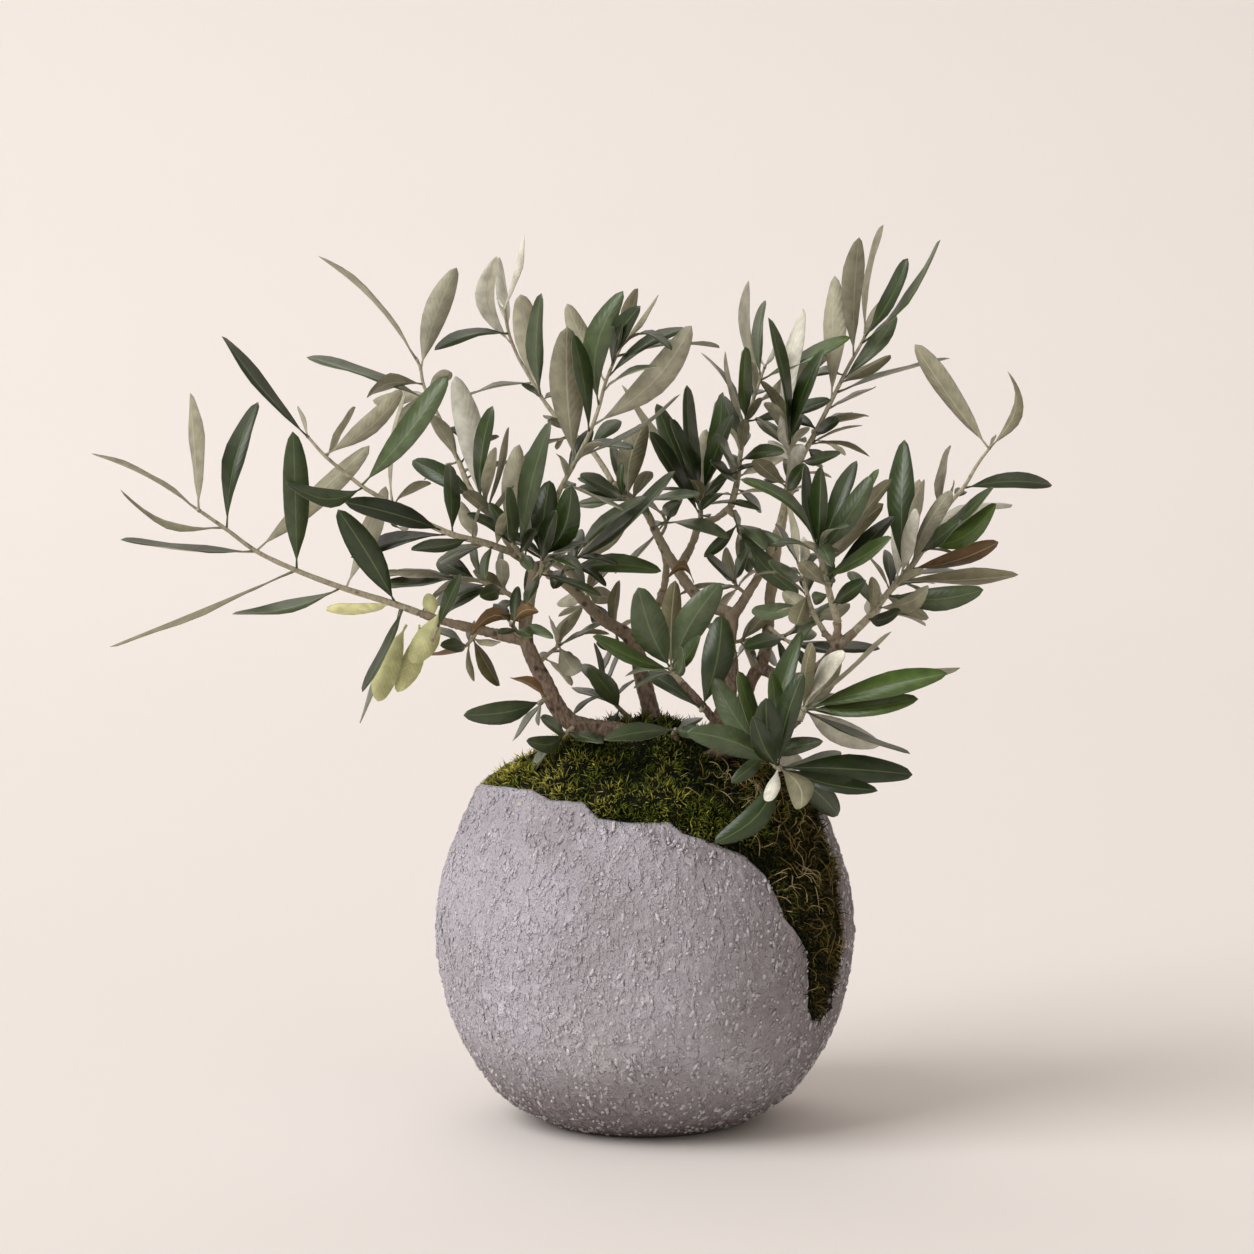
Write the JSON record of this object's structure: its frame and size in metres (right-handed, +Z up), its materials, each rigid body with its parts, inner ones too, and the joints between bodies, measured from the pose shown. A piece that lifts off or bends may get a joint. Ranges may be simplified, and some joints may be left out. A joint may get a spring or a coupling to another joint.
{
  "type": "olive bonsai",
  "caption": "Multi-stem olive bonsai with narrow grey-green leaves, moss over its soil, in a rough ball-shaped stoneware pot whose torn lip opens into a moss-filled cleft.",
  "frame": {"origin": "centre of the pot's flat foot, on the surface it stands on", "axes": "+Z up along the pot's axis; +X to the right and -Y towards the viewer of the front, so the cleft in the lip is between +X and -Y"},
  "size_m": [0.4008, 0.1792, 0.3856],
  "materials": {
    "stoneware": "rough unglazed lilac-grey stoneware with raised pale grit",
    "soil": "dark damp soil",
    "moss": "olive-green cushion moss",
    "bark": "grey-brown ridged bark",
    "leaf": "satin dark green above, matt silver-grey below"
  },
  "bodies": {
    "root": {"pot": "stoneware", "soil": "soil", "moss": "moss", "stems": "bark", "spray_far_left": "leaf", "spray_left_drape": "leaf", "spray_left_high": "leaf", "spray_left_under": "leaf", "spray_left_crown": "leaf", "spray_left_heart": "leaf", "spray_top_left": "leaf", "spray_top_mid": "leaf", "spray_dark_pair": "leaf", "spray_mid_fan": "leaf", "spray_hub_left": "leaf", "spray_hub_twig": "leaf", "spray_centre": "leaf", "spray_top_centre": "leaf", "spray_centre_low": "leaf", "spray_right_inner": "leaf", "spray_top_right": "leaf", "spray_right_bunch": "leaf", "spray_right_stem": "leaf", "spray_right_low": "leaf", "spray_right_spread": "leaf", "spray_right_skirt": "leaf", "spray_front_shoot": "leaf", "spray_front_lower": "leaf", "spray_base_left": "leaf", "spray_base_fork": "leaf", "spray_base_mid": "leaf", "spray_base_front": "leaf", "spray_mid_left": "leaf", "spray_fork_leaves": "leaf", "spray_under_bough": "leaf", "spray_trunk_left": "leaf", "spray_trunk_mid": "leaf", "spray_stem_right": "leaf", "spray_stem_knot": "leaf", "spray_rear_fork": "leaf"}
  },
  "joints": []
}
